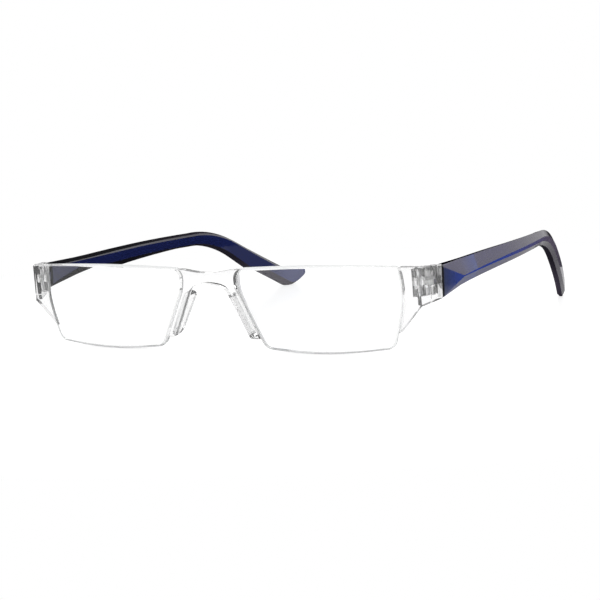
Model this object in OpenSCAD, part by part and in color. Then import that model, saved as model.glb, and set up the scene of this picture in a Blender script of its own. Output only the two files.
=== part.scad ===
// Rimless reading glasses, standing open on the lens bottoms and the temple tips.
// +X is the wearer's left, -Y is the way the wearer looks, +Z is up.
// The floor is z = 0 and the glasses are mirrored about x = 0.

/* [Lenses] */
// Gap between the two lenses across the bridge
lens_gap = 18.4; // [16:0.1:24]
// Width of a lens along its top edge
lens_top_w = 50.9; // [46:0.1:56]
// Height of a lens
lens_h = 25.6; // [24:0.1:32]
// Share of the width between the inner edge and the crest of the top and bottom curves
lens_crest_share = 0.566; // [0.5:0.002:0.62]
// Rise of the top crest point above the lens height
lens_top_crest = 0.5; // [0.2:0.05:1]
// Fall of the top edge at its inner corner
lens_inner_fall = 1.0; // [0.6:0.05:2]
// Fall of the top edge at its outer corner
lens_outer_fall = 0.7; // [0.5:0.05:2]
// Swell of the outer edge past the top corner
lens_side_swell = 1.8; // [1:0.1:2.5]
// Distance of the widest point of the outer edge below the lens height
lens_swell_fall = 8.9; // [8.6:0.1:13]
// Inset of the outer bottom corner from the top corner
lens_outer_inset = 2.5; // [1:0.1:5]
// Height of the outer bottom corner
lens_outer_rise = 1.3; // [0.8:0.05:2.5]
// Dip of the bottom crest point below the floor line
lens_bottom_crest = 0.65; // [0.5:0.05:0.9]
// How far the inner bottom corner is cut back for the nose
lens_nose_cut = 8.3; // [5:0.1:12]
// Height of the inner bottom corner
lens_inner_rise = 0.9; // [0.6:0.05:2]
// Distance below the lens height at which the inner edge starts to slant
lens_knee_fall = 7.3; // [7:0.1:9]
// Radius of the front surface
lens_front_r = 130; // [90:1:200]
// Radius of the back surface
lens_back_r = 233.7; // [230:0.1:400]
// Distance of the optical centre from the inner edge
lens_optic_x = 14.8; // [14:0.1:26]
// Thickness of a lens at its optical centre
lens_centre_t = 3.2; // [3.1:0.05:3.6]
// Forward lean of the front, top edge first
tilt_angle = 5.2; // [0:0.1:9]
// Backward turn of each lens towards its hinge
wrap_angle = 4.2; // [2:0.1:6]
// Depth of the ground flat that each lens and each temple tip stands on
foot_flat = 0.08; // [0.05:0.01:0.2]

/* [Lens corners] */
// Radius of the inner top corner
lens_r_inner_top = 3.2; // [2:0.1:3.5]
// Share of the shorter half of the top edge that the curve of its crest takes up
lens_top_share = 0.84; // [0.3:0.01:0.9]
// Radius of the outer top corner
lens_r_outer_top = 0.8; // [0.3:0.1:1.5]
// Share of the shorter part of the outer edge that the curve of its swell takes up
lens_side_share = 0.89; // [0.5:0.01:0.9]
// Radius of the outer bottom corner
lens_r_outer_bottom = 3.5; // [2:0.1:5]
// Share of the shorter half of the bottom edge that the curve of its crest takes up
lens_bottom_share = 0.67; // [0.3:0.01:0.8]
// Radius of the inner bottom corner
lens_r_inner_bottom = 4; // [2:0.1:4.5]
// Radius at the start of the slanted inner edge
lens_r_knee = 12; // [6:0.5:13]

/* [Bridge and nose rests] */
// Thickness of the bridge, front to back
bridge_t = 2.2; // [1.8:0.1:3]
// How far the bridge face stands in front of the inner lens edges
bridge_proud = 0.6; // [0.3:0.05:0.8]
// Width of each leg beside the lens
bridge_leg_w = 2.6; // [2:0.1:3.5]
// Height of the dip in the top edge, below the lens height
bridge_dip = 2.55; // [1.5:0.05:4]
// Radius of the dip
bridge_r_dip = 25; // [15:1:30]
// Height of the shoulders, below the lens height
bridge_shoulder_fall = 1.2; // [1.1:0.05:1.5]
// Inset of each shoulder from the lens
bridge_shoulder_in = 0.7; // [0.3:0.1:1.5]
// Radius of the shoulders
bridge_r_shoulder = 8; // [3:0.5:10]
// Height of the arch apex below the lens height
arch_fall = 5.3; // [4.6:0.1:6]
// Height of the arch corners below the lens height
arch_side_fall = 6.4; // [6:0.1:7.5]
// Radius of the arch apex
arch_r_apex = 14; // [6:1:16]
// Radius of the arch corners
arch_r_corner = 4; // [2:0.1:4.5]
// Upward slope of the underside of the arch towards the nose
saddle_angle = 16; // [5:1:25]
// Depth of the level strip at the front of the arch
saddle_start = 0.6; // [0.3:0.1:1.2]
// Height of the foot of each leg
leg_foot_z = 4.1; // [3.6:0.1:6]
// Radius of the foot of each leg
leg_r_foot = 1; // [0.5:0.1:1.2]
// Width of a nose rest
rest_w = 1.8; // [1.4:0.1:2]
// Length of a nose rest along its leg
rest_len = 14.4; // [12:0.1:15]
// How far a nose rest stands out behind its leg at the top
rest_depth = 3.9; // [3:0.1:4.4]
// How far it stands out near the foot
rest_foot_depth = 2.6; // [1.6:0.1:3]
// Radius of its upper rear corner
rest_r_top = 1.6; // [0.8:0.1:2]
// Radius of its lower rear corner
rest_r_foot = 3; // [1.5:0.1:3.5]
// Distance from the foot of the leg to the end of the rest
rest_foot_gap = 0.3; // [0.2:0.1:1.5]
// How far the rest is set towards the nose from the middle of the leg
rest_inset = 0.35; // [0:0.05:0.4]

/* [End pieces] */
// Distance from the outer end of a lens top edge to the corner of the front
corner_out = 5.9; // [5.6:0.1:6.2]
// How much further out the rear end of the side wall lies
wall_out = 3.1; // [2.9:0.1:3.6]
// Distance that the side walls reach back from the bridge plane
wall_rear_y = 11.75; // [11.5:0.05:12.2]
// Thickness of the side wall
wall_t = 2; // [1.6:0.05:2.4]
// Thickness of the front plate
plate_t = 2.4; // [2:0.1:3]
// Distance of the front plate behind the bridge plane
plate_front = 3.6; // [3.4:0.1:3.8]
// Distance of the top of the end piece below the lens height
end_top_fall = 1.1; // [0.9:0.1:1.6]
// Distance of the lower front edge below the lens height, at the corner
plate_low_fall = 12; // [11.1:0.1:13.1]
// Distance of the lower front edge below the lens height, where it meets the lens
plate_lens_fall = 18.5; // [16.6:0.1:19.1]
// Distance of the lower rear edge of the side wall below the lens height
wall_low_fall = 10.4; // [10:0.1:11]

/* [Hinges] */
// Distance of the screw axis inside the rear end of the side wall
pin_in = 3.8; // [3.7:0.05:4]
// Distance of the screw axis in front of the rear end of the side wall
pin_ahead = 2.35; // [2.25:0.05:2.75]
// Radius of the ears round the screw
ear_r = 1.95; // [1.85:0.05:2.1]
// Distance of the top of the upper ear below the lens height
ear_top_fall = 1.3; // [1.1:0.1:1.7]
// Distance of the underside of the lower ear below the lens height
ear_low_fall = 9.2; // [8.6:0.1:9.6]
// Distance of the middle of the tongue below the lens height
tongue_fall = 5.1; // [4.8:0.1:5.4]
// Thickness of the tongue
tongue_t = 2.2; // [1.8:0.1:2.6]
// Radius of the rounded end of the tongue
tongue_r = 1.9; // [1.7:0.05:1.9]
// Gap above and below the tongue in its slot
slot_gap = 0.12; // [0.08:0.01:0.2]
// Thickness of clear plastic left outside the slot
slot_skin = 0.8; // [0.6:0.05:0.82]
// Gap between the side wall and the temple when it is open
butt_gap = 0.35; // [0.25:0.05:0.5]
// Radius of the screw shank
screw_r = 0.75; // [0.6:0.05:0.8]
// Radius of the screw head
screw_head_r = 1.25; // [1.1:0.05:1.3]
// Height of the screw head
screw_head_h = 0.8; // [0.5:0.05:1]
// Width of the slot in the screw head
screw_slot_w = 0.4; // [0.3:0.05:0.5]
// Depth of the slot in the screw head
screw_slot_depth = 0.4; // [0.2:0.05:0.45]
// Radial clearance of the screw in the ears and of its head
screw_gap = 0.03; // [0.02:0.01:0.05]
// Radial running clearance of the tongue on the screw
pivot_gap = 0.05; // [0.03:0.01:0.08]

/* [Temples] */
// How far the outer face of the open temple stands outside the side wall
temple_out = 0.1; // [0:0.1:0.5]
// Height of the temple at its front end
temple_front_h = 9.1; // [8.4:0.1:10]
// Height of the temple behind the front facet
temple_mid_h = 7.2; // [6:0.1:8]
// Height of the temple at its waist, above the ear
temple_waist_h = 4.5; // [3.8:0.1:5.5]
// Height of the temple tip
temple_tip_h = 8.9; // [8:0.1:10]
// Length of the rounded end of the tip
temple_tip_len = 3; // [2:0.1:4]
// How much the inner face is cut up from below behind the front facet
inner_rise = 2.8; // [1.5:0.1:3]
// Distance of the middle of the front end below the lens height
temple_fall = 5.75; // [5.5:0.05:6]
// Thickness at the front end
temple_front_t = 5.3; // [5:0.1:5.4]
// Thickness at the waist
temple_waist_t = 3.6; // [3:0.1:4.4]
// Thickness at the tip
temple_tip_t = 2.8; // [2.4:0.1:3.6]
// How much lower the inner face is along its top edge
inner_fall = 0.6; // [0:0.05:1]
// Length of the gently bowed run in front of the ear bend
temple_run = 79.5; // [72:0.5:86]
// Rise of the temple at its front end
front_pitch = 4.6; // [4:0.1:5.2]
// Rise of the temple where the ear bend starts
rear_pitch = 1.6; // [1:0.1:2.2]
// Radius of the ear bend
bend_r = 42; // [30:1:50]
// Slope of the drop behind the ear
drop_angle = 30; // [27:0.5:33]
// Distance behind the front at which the temples start to curve inwards
curve_start = 58; // [45:1:65]
// Radius of the inward curve
curve_r = 245; // [220:5:320]
// Distance from the front end to the tip of the front facet
facet_len = 14.6; // [10:0.1:17]
// How far the ridge lies below the middle at the tip of the front facet
ridge_drop = 1.4; // [0:0.1:1.6]
// How far the upper and lower outer edges fall back from the ridge
ridge_fall = 1.3; // [0.8:0.05:1.6]
// Width of the narrow bevels at the front end
edge_bevel = 0.3; // [0.15:0.05:0.4]

/* [Hidden] */

// Arcs are drawn with chords no further than this from the true curve.
chord_error = 0.01;
// Any cutter reaches this far past what it cuts.
reach = 20;
round_fn = 64;
lens_fn = 360;
clear_color = [0.90, 0.93, 0.95, 0.45];
lens_color = [0.95, 0.98, 1.0, 0.30];
temple_color = [0.10, 0.13, 0.36];
screw_color = [0.72, 0.72, 0.74];

function unit(v) = v / norm(v);
function dir(a) = [cos(a), sin(a)];
function normal(a) = [-sin(a), cos(a)];
function steps(r, turn) = max(1, ceil(abs(turn) / (2 * acos(1 - chord_error / r))));

// The points of the arc that rounds the corner b between a and c.
function corner_arc(a, b, c, r) =
    let (
        u = unit(a - b),
        w = unit(c - b),
        half = acos(u * w) / 2,
        centre = b + unit(u + w) * r / sin(half),
        from = b + u * r / tan(half) - centre,
        to = b + w * r / tan(half) - centre,
        turn = atan2(cross(from, to), from * to),
        start = atan2(from.y, from.x),
        n = steps(r, turn)
    )
    [for (i = [0:n]) centre + r * dir(start + turn * i / n)];

// An outline given as corners [x, y, radius], where a radius of 0 is a sharp corner.
function flat(p) = [p.x, p.y];
function rounded(corners) =
    let (count = len(corners))
    [
        for (i = [0:count - 1])
            let (before = corners[(i + count - 1) % count], here = corners[i], after = corners[(i + 1) % count])
            each here.z == 0 ? [flat(here)] : corner_arc(flat(before), flat(here), flat(after), here.z)
    ];
// The radius that rounds the corner b over that share of its shorter edge.
function share_r(a, b, c, share) = share * min(norm(a - b), norm(c - b)) * tan(acos(unit(a - b) * unit(c - b)) / 2);
// A half outline from the middle outwards and back, completed by its mirror image.
function both_sides(half) = concat(half, [for (i = [len(half) - 2:-1:1]) [-half[i].x, half[i].y, half[i].z]]);

// The front is drawn upright and then leans forward about the lens middle height.
lean_z = lens_h / 2;
inner_x = lens_gap / 2;
outer_x = inner_x + lens_top_w;
crest_x = inner_x + lens_top_w * lens_crest_share;
knee = [inner_x, lens_h - lens_knee_fall];
inner_top = [inner_x, lens_h - lens_inner_fall];
top_crest = [crest_x, lens_h + lens_top_crest];
outer_top = [outer_x, lens_h - lens_outer_fall];
swell = [outer_x + lens_side_swell, lens_h - lens_swell_fall];
outer_bottom = [outer_x - lens_outer_inset, lens_outer_rise];
bottom_crest = [crest_x, -lens_bottom_crest];
nose_corner = [inner_x + lens_nose_cut, lens_inner_rise];
lens_outline = rounded([
    [inner_top.x, inner_top.y, lens_r_inner_top],
    [top_crest.x, top_crest.y, share_r(inner_top, top_crest, outer_top, lens_top_share)],
    [outer_top.x, outer_top.y, lens_r_outer_top],
    [swell.x, swell.y, share_r(outer_top, swell, outer_bottom, lens_side_share)],
    [outer_bottom.x, outer_bottom.y, lens_r_outer_bottom],
    [bottom_crest.x, bottom_crest.y, share_r(outer_bottom, bottom_crest, nose_corner, lens_bottom_share)],
    [nose_corner.x, nose_corner.y, lens_r_inner_bottom],
    [knee.x, knee.y, lens_r_knee]
]);

// Each lens is a shell between two spheres. Its front crosses its inner edge just behind the bridge face.
bridge_front = -0.9;
lens_edge_y = bridge_front + bridge_proud;
half_span = (lens_top_w + lens_side_swell / 2) / 2;
lens_sag = lens_front_r - sqrt(pow(lens_front_r, 2) - pow(half_span / cos(wrap_angle), 2));
lens_chord_mid = [inner_x + half_span, lens_edge_y + half_span * tan(wrap_angle)];
lens_back_dir = [-sin(wrap_angle), cos(wrap_angle)];
front_centre = lens_chord_mid + lens_back_dir * (lens_front_r - lens_sag);
// The two centres and the optical centre lie on one line.
optic_x = inner_x + lens_optic_x;
optic_point = [optic_x, front_centre.y - sqrt(pow(lens_front_r, 2) - pow(optic_x - front_centre.x, 2))];
back_centre = optic_point + unit(front_centre - optic_point) * (lens_centre_t + lens_back_r);

// The leg runs beside the slanted inner edge of the lens.
leg_dir = unit(nose_corner - knee);
leg_in = [leg_dir.y, -leg_dir.x];
function on_leg(z, offset) =
    let (base = knee + leg_in * offset)
    base + leg_dir * (z - base.y) / leg_dir.y;
arch_corner = on_leg(lens_h - arch_side_fall, bridge_leg_w);
leg_foot = on_leg(leg_foot_z, bridge_leg_w);
shoulder_z = lens_h - bridge_shoulder_fall;
arch_apex = [0, lens_h - arch_fall];
bridge_outline = rounded(both_sides([
    [0, lens_h - bridge_dip, bridge_r_dip],
    [inner_x - bridge_shoulder_in, shoulder_z, bridge_r_shoulder],
    [inner_x + 0.8 * lens_r_inner_top, shoulder_z, 0],
    [inner_x + lens_r_inner_top, knee.y, 0],
    [leg_foot.x + 2 * bridge_leg_w, leg_foot_z + bridge_leg_w, 0],
    [leg_foot.x + 1.6 * bridge_leg_w, leg_foot_z, 0],
    [leg_foot.x, leg_foot_z, leg_r_foot],
    [arch_corner.x, arch_corner.y, arch_r_corner],
    [arch_apex.x, arch_apex.y, arch_r_apex]
]));
// The arch on its own, open downwards, cuts the slope that rises towards the nose.
arch_low = on_leg(-leg_foot_z, bridge_leg_w);
arch_outline = rounded([
    [arch_low.x, arch_low.y, 0],
    [arch_corner.x, arch_corner.y, arch_r_corner],
    [arch_apex.x, arch_apex.y, arch_r_apex],
    [-arch_corner.x, arch_corner.y, arch_r_corner],
    [-arch_low.x, arch_low.y, 0]
]);

// The rear face of the bridge carries the nose rests.
rest_y = bridge_front + bridge_t;
rest_foot = on_leg(leg_foot_z, bridge_leg_w / 2 + rest_inset) - leg_dir * rest_foot_gap;
rest_lean = atan2(leg_dir.x, -leg_dir.y);
// The rest from behind, a bar with round ends, and from the side, deep above and shallow below.
rest_bar = rounded([
    [-rest_w / 2, 0, rest_w * 0.49],
    [rest_w / 2, 0, rest_w * 0.49],
    [rest_w / 2, rest_len, rest_w * 0.49],
    [-rest_w / 2, rest_len, rest_w * 0.49]
]);
rest_side = rounded([
    [-1, -1, 0],
    [0, -1, 0],
    [rest_foot_depth, rest_foot_depth * 0.7, rest_r_foot],
    [rest_depth, rest_len, rest_r_top],
    [-1, rest_len, 0]
]);

// End pieces, seen from above: the side wall splays out towards the temple.
corner_x = outer_x + corner_out;
wall_rear_x = corner_x + wall_out;
end_top_z = lens_h - end_top_fall;
plate_low_z = lens_h - plate_low_fall;
plate_lens_z = lens_h - plate_lens_fall;
wall_low_z = lens_h - wall_low_fall;
splay = atan2(wall_out, wall_rear_y - plate_front);
plate_slope = (plate_low_z - plate_lens_z) / (corner_x - outer_x);
wall_slope = (wall_low_z - plate_low_z) / (wall_rear_y - plate_front);

// Hinges and temples take their places from the rear end of the side wall and from the lens height.
pin_x = wall_rear_x - pin_in;
pin_y = wall_rear_y - pin_ahead;
temple_x = wall_rear_x + temple_out;
ear_top_z = lens_h - ear_top_fall;
ear_low_z = lens_h - ear_low_fall;
tongue_z = lens_h - tongue_fall;
slot_low = tongue_z - tongue_t / 2 - slot_gap;
slot_high = tongue_z + tongue_t / 2 + slot_gap;
tongue_in = pin_x - temple_x + temple_front_t;
// The screw ends stay this far inside the ears.
screw_sunk = 0.1;
head_low = ear_top_z - screw_head_h - screw_sunk;
shank_low = ear_low_z + screw_sunk;

// Temples, seen from the side: a gently bowed run, the ear bend and the drop to a rounded tip.
temple_y = wall_rear_y + butt_gap;
path_start = [temple_y, lens_h - temple_fall];
function bow_radius(length, turn) = length * 180 / (turn * PI);
function bow_length(r, turn) = r * turn * PI / 180;
run_r = bow_radius(temple_run, front_pitch - rear_pitch);
run_centre = path_start - run_r * normal(front_pitch);
bend_start = run_centre + run_r * normal(rear_pitch);
bend_len = bow_length(bend_r, rear_pitch + drop_angle);
bend_centre = bend_start - bend_r * normal(rear_pitch);
bend_end = bend_centre + bend_r * normal(-drop_angle);
// The rounded end is half an ellipse, set so that its lowest point meets the floor.
tip_h = temple_tip_h / 2;
tip_low = norm([tip_h * cos(drop_angle), temple_tip_len * sin(drop_angle)]);
tip_back = norm([tip_h * sin(drop_angle), temple_tip_len * cos(drop_angle)]);
drop_len = (bend_end.y - tip_low + foot_flat) / sin(drop_angle);
tip_start = temple_run + bend_len + drop_len;
function path_angle(s) =
    s < temple_run ? front_pitch - (front_pitch - rear_pitch) * s / temple_run :
    s < temple_run + bend_len ? rear_pitch - (s - temple_run) * 180 / (bend_r * PI) : -drop_angle;
function path_point(s) =
    s < temple_run ? run_centre + run_r * normal(path_angle(s)) :
    s < temple_run + bend_len ? bend_centre + bend_r * normal(path_angle(s)) :
    bend_end + (s - temple_run - bend_len) * dir(-drop_angle);
// The outer face seen from above, straight at first and then curving inwards.
function inward(y) = y < curve_start ? 0 : curve_r - sqrt(pow(curve_r, 2) - pow(y - curve_start, 2));

// Half height, thickness, edge fall, ridge and inner edges along the temple.
mid_len = 1.25 * facet_len;
function half_h(s) =
    s > tip_start ? tip_h * sqrt(max(0, 1 - pow((s - tip_start) / temple_tip_len, 2))) :
    lookup(s, [
        [0, temple_front_h / 2],
        [mid_len, temple_mid_h / 2],
        [temple_run, temple_waist_h / 2],
        [temple_run + bend_len, (temple_waist_h * 0.6 + temple_tip_h * 0.4) / 2],
        [tip_start, tip_h]
    ]);
function thick(s) = lookup(s, [[0, temple_front_t], [temple_run, temple_waist_t], [tip_start, temple_tip_t]]);
function fall(s) = lookup(s, [[0, edge_bevel], [facet_len, ridge_fall], [tip_start, ridge_fall * 0.7]]);
function ridge_low(s) = lookup(s, [[0, 0], [facet_len, ridge_drop], [temple_run, ridge_drop / 2], [tip_start, 0]]);
function ridge_half(s) =
    half_h(s) * lookup(s, [
        [0, 1 - 2 * edge_bevel / temple_front_h],
        [facet_len, 0.04],
        [temple_run, 0.25],
        [temple_run + bend_len, 0.5]
    ]);
function inner_up(s) = lookup(s, [[0, inner_rise * 0.8], [mid_len, inner_rise], [temple_run, 0]]);
function inner_bevel(s) =
    min(half_h(s) / 2, lookup(s, [[0, edge_bevel], [temple_run, 2 * edge_bevel], [tip_start, 3 * edge_bevel]]));

// One section of the temple, eight points from the lower inner bevel round to the lower outer edge.
function section(s) =
    let (h = half_h(s), w = thick(s), b = inner_bevel(s), f = fall(s), u = inner_up(s) - h)
    let (k = ridge_half(s), m = -ridge_low(s) * min(1, h / tip_h), t = h - min(inner_fall, h / 4))
    [
        for (q = [[b, u], [0, u + b], [0, t - b], [b, t], [w - f, h], [w, m + k], [w, m - k], [w - f, -h]])
            let (p = path_point(s) + q.y * normal(path_angle(s)))
            [temple_x - inward(p.x) - w + q.x, p.x, p.y]
    ];
run_steps = 10;
bend_steps = 12;
drop_steps = 6;
tip_steps = 8;
tip_sweep = 84;
stations = concat(
    [0],
    [for (i = [0:run_steps]) facet_len + (temple_run - facet_len) * i / run_steps],
    [for (i = [1:bend_steps]) temple_run + bend_len * i / bend_steps],
    [for (i = [1:drop_steps]) temple_run + bend_len + drop_len * i / drop_steps],
    [for (i = [1:tip_steps]) tip_start + temple_tip_len * sin(tip_sweep * i / tip_steps)]
);
sides = 8;

// The middle of the box round the glasses is y = 0, between the top of the bridge and the temple tips.
front_most = bridge_front * cos(tilt_angle) - (shoulder_z - lean_z) * sin(tilt_angle);
rear_most = path_point(tip_start).x + tip_back;
shift_y = -(front_most + rear_most) / 2;

module place() {
    translate([0, shift_y, 0])
        children();
}
module on_side(side) {
    mirror([side < 0 ? 1 : 0, 0, 0])
        children();
}
// The upright front, leaned forward about its middle height.
module lean() {
    translate([0, 0, lean_z])
        rotate([tilt_angle, 0, 0])
            translate([0, 0, -lean_z])
                children();
}
// An outline in x and z given a thickness from y = from to y = to.
module slab(from, to) {
    translate([0, to, 0])
        rotate([90, 0, 0])
            linear_extrude(to - from)
                children();
}
module lens_prism() {
    slab(-reach, reach)
        polygon(lens_outline);
}
module below_floor() {
    translate([-2 * reach, -2 * reach, -reach])
        cube([6 * reach, 12 * reach, reach]);
}

module lens() {
    color(lens_color)
        difference() {
            lean()
                difference() {
                    intersection() {
                        lens_prism();
                        translate([front_centre.x, front_centre.y, lean_z])
                            sphere(lens_front_r, $fn = lens_fn);
                    }
                    translate([back_centre.x, back_centre.y, lean_z])
                        sphere(lens_back_r, $fn = lens_fn);
                }
            below_floor();
        }
}

module bridge() {
    color(clear_color)
        place()
            lean()
                difference() {
                    slab(bridge_front, rest_y)
                        polygon(bridge_outline);
                    for (side = [-1, 1])
                        on_side(side)
                            lens_prism();
                    translate([0, bridge_front + saddle_start, arch_apex.y])
                        rotate([saddle_angle, 0, 0])
                            translate([0, 0, -arch_apex.y])
                                slab(-reach, reach)
                                    polygon(arch_outline);
                }
}

module nose_rest() {
    color(clear_color)
        lean()
            translate([rest_foot.x, rest_y, rest_foot.y])
                rotate([0, -rest_lean, 0])
                    intersection() {
                        slab(0, rest_depth)
                            polygon(rest_bar);
                        translate([-reach / 2, 0, 0])
                            rotate([90, 0, 90])
                                linear_extrude(reach)
                                    polygon(rest_side);
                    }
}

// The plate beside the lens, cut to the lens outline.
module end_plate() {
    lean()
        slab(plate_front, plate_front + plate_t)
            polygon([
                [outer_x - 2, plate_lens_z - 2 * plate_slope],
                [corner_x + 2, plate_low_z + 2 * plate_slope],
                [corner_x + 2, end_top_z],
                [outer_x - 2, end_top_z]
            ]);
}
// The wall along the side, with its lower edge rising to the temple.
module side_wall() {
    intersection() {
        translate([wall_rear_x, wall_rear_y, 0])
            rotate([0, 0, -splay])
                translate([-wall_t, -reach, 0])
                    cube([wall_t, 2 * reach, 2 * reach]);
        translate([0, wall_rear_y - reach, 0])
            cube([4 * reach, reach, end_top_z + 0.3]);
        translate([wall_rear_x, 0, 0])
            rotate([0, -90, 0])
                linear_extrude(reach)
                    polygon([
                        [wall_low_z - wall_slope * reach, wall_rear_y - reach],
                        [wall_low_z, wall_rear_y],
                        [2 * reach, wall_rear_y],
                        [2 * reach, wall_rear_y - reach]
                    ]);
    }
}
// The block that the slot divides into two ears, round at the screw.
module hinge_block() {
    translate([0, 0, ear_low_z])
        linear_extrude(ear_top_z - ear_low_z) {
            translate([pin_x, pin_y])
                circle(ear_r, $fn = round_fn);
            translate([pin_x - ear_r, plate_front + plate_t / 2])
                square([wall_rear_x - pin_x, pin_y - plate_front - plate_t / 2]);
        }
}
// Room for the tongue, open to the rear and to the inside.
module hinge_slot() {
    intersection() {
        translate([0, 0, slot_low])
            linear_extrude(slot_high - slot_low) {
                translate([pin_x, pin_y])
                    circle(tongue_r + slot_gap, $fn = round_fn);
                translate([pin_x - reach, pin_y - tongue_in - slot_gap])
                    square([reach, reach]);
                translate([pin_x - reach, pin_y])
                    square([2 * reach, reach]);
            }
        translate([wall_rear_x, wall_rear_y, 0])
            rotate([0, 0, -splay])
                translate([-slot_skin - 2 * reach, -reach, 0])
                    cube([2 * reach, 2 * reach, 2 * reach]);
    }
}
module screw_bores() {
    translate([pin_x, pin_y, ear_low_z - 1])
        cylinder(h = ear_top_z - ear_low_z + 2, r = screw_r + screw_gap, $fn = round_fn);
    translate([pin_x, pin_y, head_low])
        cylinder(h = reach, r = screw_head_r + screw_gap, $fn = round_fn);
}
module endpiece() {
    color(clear_color)
        difference() {
            intersection() {
                union() {
                    end_plate();
                    side_wall();
                    hinge_block();
                }
                translate([wall_rear_x, wall_rear_y, 0])
                    rotate([0, 0, -splay])
                        translate([-reach, -reach, 0])
                            cube([reach, 2 * reach, 2 * reach]);
                lean()
                    translate([0, plate_front, 0])
                        cube([4 * reach, 2 * reach, 2 * reach]);
            }
            lean()
                lens_prism();
            hinge_slot();
            screw_bores();
        }
}

module hinge_screw() {
    color(screw_color)
        difference() {
            union() {
                translate([pin_x, pin_y, shank_low])
                    cylinder(h = head_low - shank_low + screw_head_h / 2, r = screw_r, $fn = round_fn);
                translate([pin_x, pin_y, head_low])
                    cylinder(h = screw_head_h, r = screw_head_r, $fn = round_fn);
            }
            translate([pin_x - reach / 2, pin_y - screw_slot_w / 2, head_low + screw_head_h - screw_slot_depth])
                cube([reach, screw_slot_w, reach]);
        }
}

module temple_blade() {
    rings = [for (s = stations) each section(s)];
    last = len(stations) - 1;
    walls = [
        for (i = [0:last - 1], j = [0:sides - 1])
            let (a = i * sides + j, b = i * sides + (j + 1) % sides)
            each [[a, a + sides, b], [b, a + sides, b + sides]]
    ];
    front_cap = [for (j = [1:sides - 2]) [0, j, j + 1]];
    tip_cap = [for (j = [1:sides - 2]) [last * sides, last * sides + j + 1, last * sides + j]];
    polyhedron(points = rings, faces = concat(walls, front_cap, tip_cap));
}
module tongue() {
    translate([0, 0, tongue_z - tongue_t / 2])
        linear_extrude(tongue_t) {
            translate([pin_x, pin_y])
                circle(tongue_r, $fn = round_fn);
            translate([pin_x - tongue_in, pin_y])
                square([tongue_in + tongue_r * 0.85, temple_y - pin_y + 1]);
        }
}
module temple() {
    color(temple_color)
        difference() {
            union() {
                temple_blade();
                tongue();
            }
            translate([pin_x, pin_y, 0])
                cylinder(h = 2 * reach, r = screw_r + pivot_gap, $fn = round_fn);
            below_floor();
        }
}

module lens_left() { place() on_side(1) lens(); }
module lens_right() { place() on_side(-1) lens(); }
module nose_rest_left() { place() on_side(1) nose_rest(); }
module nose_rest_right() { place() on_side(-1) nose_rest(); }
module endpiece_left() { place() on_side(1) endpiece(); }
module endpiece_right() { place() on_side(-1) endpiece(); }
module hinge_screw_left() { place() on_side(1) hinge_screw(); }
module hinge_screw_right() { place() on_side(-1) hinge_screw(); }
module temple_left() { place() on_side(1) temple(); }
module temple_right() { place() on_side(-1) temple(); }

bridge();
nose_rest_left();
nose_rest_right();
lens_left();
lens_right();
endpiece_left();
endpiece_right();
hinge_screw_left();
hinge_screw_right();
temple_left();
temple_right();
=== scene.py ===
import math

import bmesh
import bpy
from mathutils import Euler, Matrix, Vector


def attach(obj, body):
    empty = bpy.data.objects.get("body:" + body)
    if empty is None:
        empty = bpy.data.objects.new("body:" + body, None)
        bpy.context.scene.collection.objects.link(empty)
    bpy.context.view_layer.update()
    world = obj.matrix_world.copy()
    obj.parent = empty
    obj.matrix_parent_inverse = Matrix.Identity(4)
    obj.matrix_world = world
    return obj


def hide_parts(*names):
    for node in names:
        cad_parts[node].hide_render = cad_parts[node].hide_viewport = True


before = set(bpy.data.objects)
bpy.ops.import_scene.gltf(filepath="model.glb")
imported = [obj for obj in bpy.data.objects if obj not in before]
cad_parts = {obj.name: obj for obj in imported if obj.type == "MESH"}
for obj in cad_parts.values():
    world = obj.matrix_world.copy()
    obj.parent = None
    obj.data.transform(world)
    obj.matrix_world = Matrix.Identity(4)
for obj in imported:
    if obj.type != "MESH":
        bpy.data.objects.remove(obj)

bl_info = {
    "name": "Rimless reading glasses",
    "version": (1, 0, 0),
    "blender": (4, 5, 0),
    "location": "View3D > Sidebar > Glasses",
    "description": "Dresses the packed reading glasses: clear front, hinge screws and blue temples",
    "category": "Add Mesh",
}

MM = 0.001
SIDES = (("left", 1), ("right", -1))

# The upright front, in millimetres from the bridge plane and the floor.
LENS_INNER_X = 9.2
LENS_WIDTH = 50.9
LENS_OUTER_X = LENS_INNER_X + LENS_WIDTH
LENS_HEIGHT = 25.6
LENS_MIDDLE_Z = LENS_HEIGHT / 2
LENS_CREST_X = 38.01
LENS_SWELL = 1.8
LENS_HALF_SPAN = (LENS_WIDTH + LENS_SWELL / 2) / 2
# Corners of the left lens outline: place across, height and corner radius.
LENS_CORNERS = (
    (LENS_INNER_X, 24.6, 3.2),
    (LENS_CREST_X, 26.1, 350),
    (LENS_OUTER_X, 24.9, 0.8),
    (LENS_OUTER_X + LENS_SWELL, 16.7, 30),
    (LENS_OUTER_X - 2.5, 1.3, 3.5),
    (LENS_CREST_X, -0.65, 150),
    (LENS_INNER_X + 8.3, 0.9, 4),
    (LENS_INNER_X, 18.3, 12),
)
# Place along of the lens edge beside the bridge.
LENS_EDGE_Y = -0.3
# Rows of a lens surface, as shares of the way from its hub to the rounded edge.
SURFACE_ROWS = (0.06, 0.15, 0.26, 0.38, 0.5, 0.62, 0.74, 0.84, 0.92, 0.965, 0.985)
# Steps over the rounded edge of a lens.
EDGE_STEPS = 10
# The front stands this far ahead of the middle of the glasses.
FRONT_Y = -70.1026
# Place of the left hinge pin, across and along.
HINGE_PIN = (65.3, -60.7)


# Settings


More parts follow.
